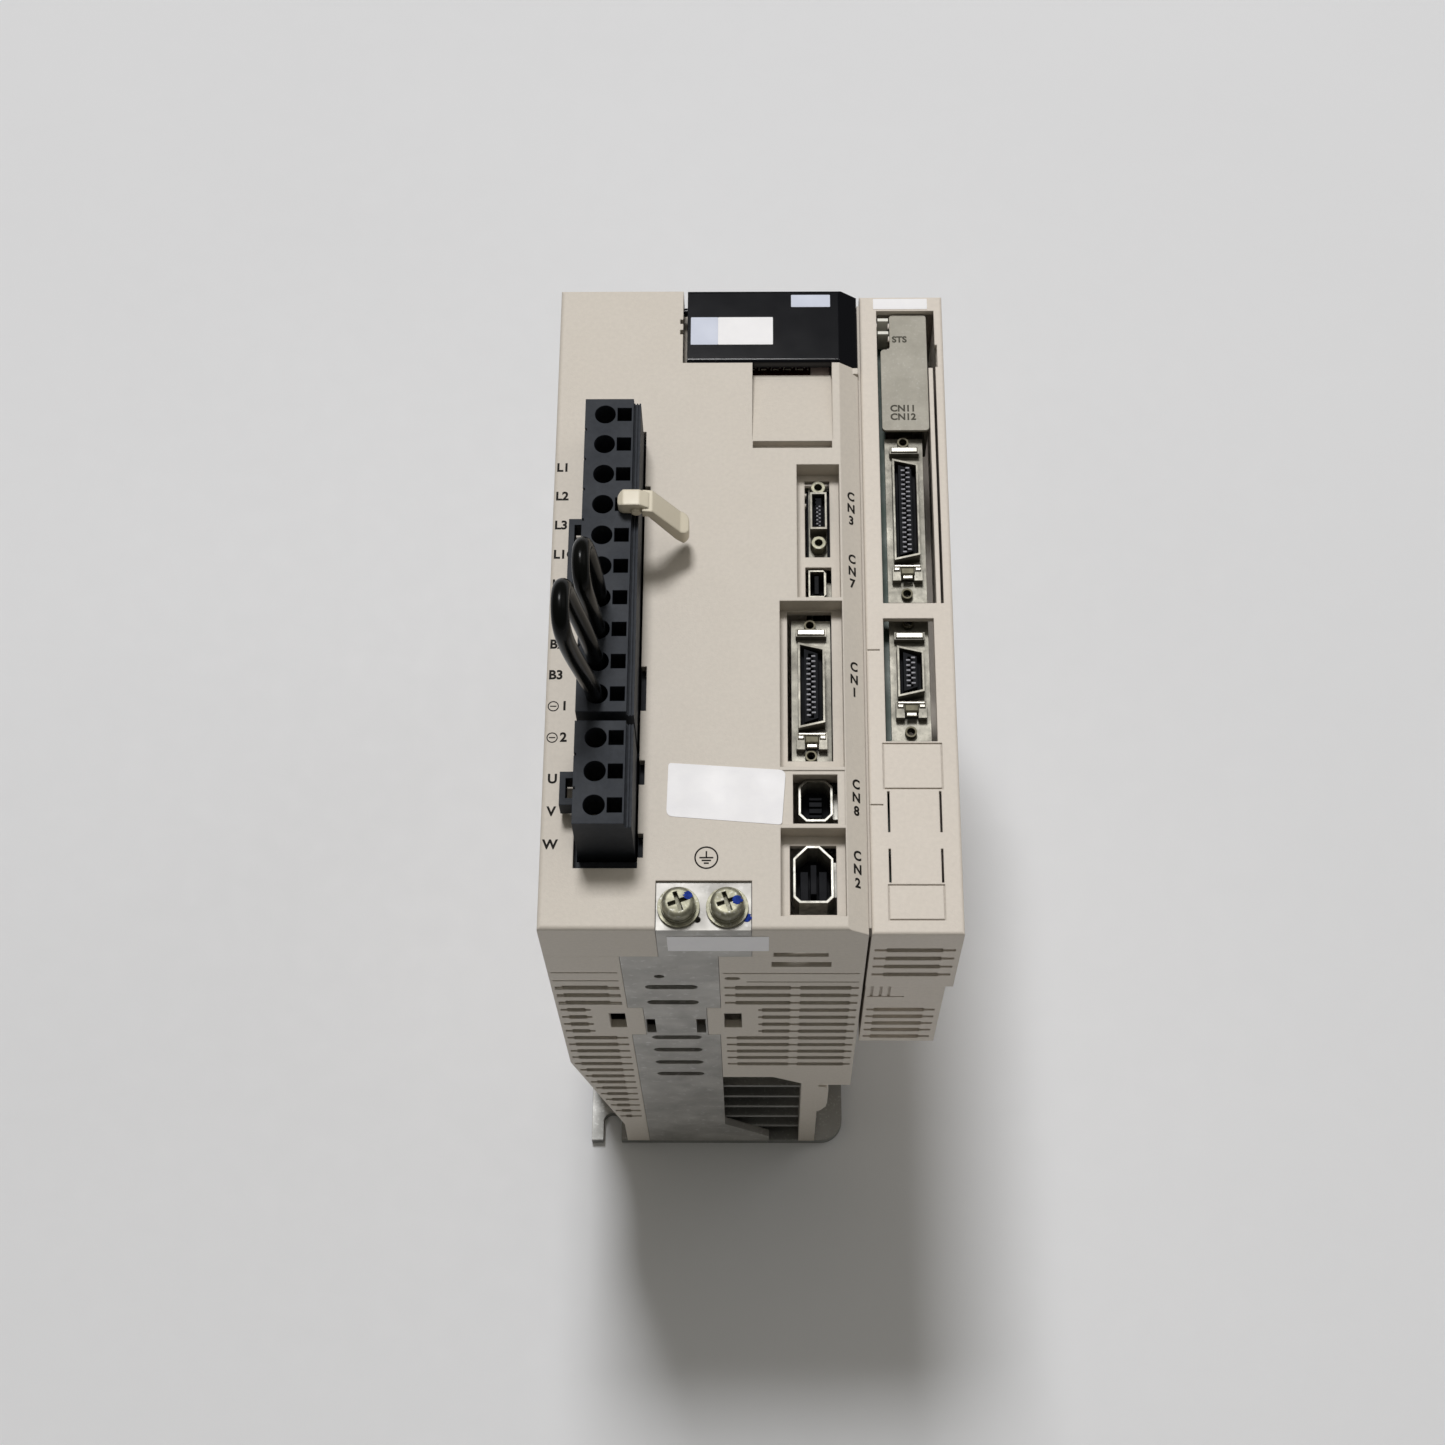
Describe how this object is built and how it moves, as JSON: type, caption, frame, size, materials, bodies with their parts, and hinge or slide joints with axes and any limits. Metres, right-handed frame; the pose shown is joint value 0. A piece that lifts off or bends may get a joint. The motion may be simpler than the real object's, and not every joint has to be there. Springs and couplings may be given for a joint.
{
  "type": "servo drive",
  "caption": "Tall narrow base-mounted servo drive with pluggable terminal blocks, signal connectors, a smoked display cover and a slim option module on its right side.",
  "frame": {"origin": "middle of the flat back that lies against the cabinet plate, on the drive's own centreline, without the option module", "axes": "+Z points out of the front panel, +Y is the drive's top edge, +X is its right side as seen from the front"},
  "size_m": [0.0902, 0.16, 0.2354],
  "materials": {
    "case_plastic": "fine-grained beige moulding",
    "option_plastic": "fine-grained beige moulding",
    "casting": "die-cast, slightly dull",
    "arm_metal": "plated sheet, slightly blotchy",
    "smoked_cover": "glossy smoked black",
    "black_plastic": "matte black moulding",
    "socket_black": "black insulator",
    "ivory_plastic": "ivory moulding",
    "nickel": "nickel-plated sheet",
    "steel": "zinc-plated steel",
    "wire_black": "glossy black wire insulation",
    "board_green": "green solder mask",
    "chip_black": "moulded package",
    "capacitor_sleeve": "heat-shrunk sleeve",
    "copper_winding": "varnished copper wire",
    "display_red": "dark red display filter",
    "lens_clear": "milky lens",
    "key_grey": "grey keycap",
    "fan_black": "matte black moulding",
    "bracket_grey": "grey painted sheet",
    "light_bar": "clear light guide"
  },
  "bodies": {
    "drive": {"heatsink": "casting", "ground_arm": "arm_metal", "ground_washers": "steel", "ground_screws": "steel", "rear_case": "case_plastic", "front_case": "case_plastic", "display_module": "display_red", "lamp_lens": "lens_clear", "key_board": "board_green", "key_switches": "chip_black", "power_header": "black_plastic", "power_blades": "nickel", "motor_header": "black_plastic", "motor_blades": "nickel", "cn1_shell": "nickel", "cn1_socket": "socket_black", "cn8_shell": "nickel", "cn8_socket": "socket_black", "cn2_shell": "nickel", "cn2_socket": "socket_black", "cn3_shell": "nickel", "cn3_socket": "socket_black", "cn7_shell": "nickel", "cn7_tongue": "socket_black", "jack_screws": "steel", "control_board": "board_green", "control_chips": "chip_black", "power_board": "board_green", "bus_capacitors": "capacitor_sleeve", "line_choke": "copper_winding", "charge_relay": "chip_black", "power_module": "chip_black", "fan_frame": "fan_black", "option_front_case": "option_plastic", "option_rear_case": "option_plastic", "option_board": "board_green", "link_connector": "socket_black", "option_bracket": "bracket_grey", "status_bars": "light_bar", "cn11_shell": "nickel", "cn11_socket": "socket_black", "cn12_shell": "nickel", "cn12_socket": "socket_black", "option_jacks": "steel"},
    "display_cover": {"display_cover": "smoked_cover"},
    "power_plug": {"power_plug": "black_plastic", "power_plug_clamps": "steel", "jumper_a": "wire_black", "jumper_b": "wire_black"},
    "motor_plug": {"motor_plug": "black_plastic", "motor_plug_clamps": "steel"},
    "opener_lever": {"opener_lever": "ivory_plastic"},
    "fan_rotor": {"fan_rotor": "fan_black"},
    "panel_key_1": {"panel_key_1": "key_grey"},
    "panel_key_2": {"panel_key_2": "key_grey"},
    "panel_key_3": {"panel_key_3": "key_grey"},
    "panel_key_4": {"panel_key_4": "key_grey"}
  },
  "joints": [
    {"name": "cover_hinge", "type": "hinge", "parent": "drive", "child": "display_cover", "pos_m": [0.012, 0.077, 0.175], "axis": [-1, 0, 0], "range_deg": [0, 100]},
    {"name": "power_plug_pull", "type": "slide", "parent": "drive", "child": "power_plug", "axis": [0, 0, 1], "range_m": [0, 0.03]},
    {"name": "motor_plug_pull", "type": "slide", "parent": "drive", "child": "motor_plug", "axis": [0, 0, 1], "range_m": [0, 0.03]},
    {"name": "lever_press", "type": "hinge", "parent": "power_plug", "child": "opener_lever", "pos_m": [-0.0149, 0.0116, 0.1989], "axis": [0, 1, 0], "range_deg": [0, 12], "stiffness_Nm_per_rad": 0.05},
    {"name": "fan_spin", "type": "hinge", "parent": "drive", "child": "fan_rotor", "pos_m": [0.0072, 0.074, 0.027], "axis": [0, 1, 0], "continuous": true},
    {"name": "key_1_press", "type": "slide", "parent": "drive", "child": "panel_key_1", "axis": [0, 0, -1], "range_m": [0, 0.0005], "stiffness_N_per_m": 300},
    {"name": "key_2_press", "type": "slide", "parent": "drive", "child": "panel_key_2", "axis": [0, 0, -1], "range_m": [0, 0.0005], "stiffness_N_per_m": 300},
    {"name": "key_3_press", "type": "slide", "parent": "drive", "child": "panel_key_3", "axis": [0, 0, -1], "range_m": [0, 0.0005], "stiffness_N_per_m": 300},
    {"name": "key_4_press", "type": "slide", "parent": "drive", "child": "panel_key_4", "axis": [0, 0, -1], "range_m": [0, 0.0005], "stiffness_N_per_m": 300}
  ]
}
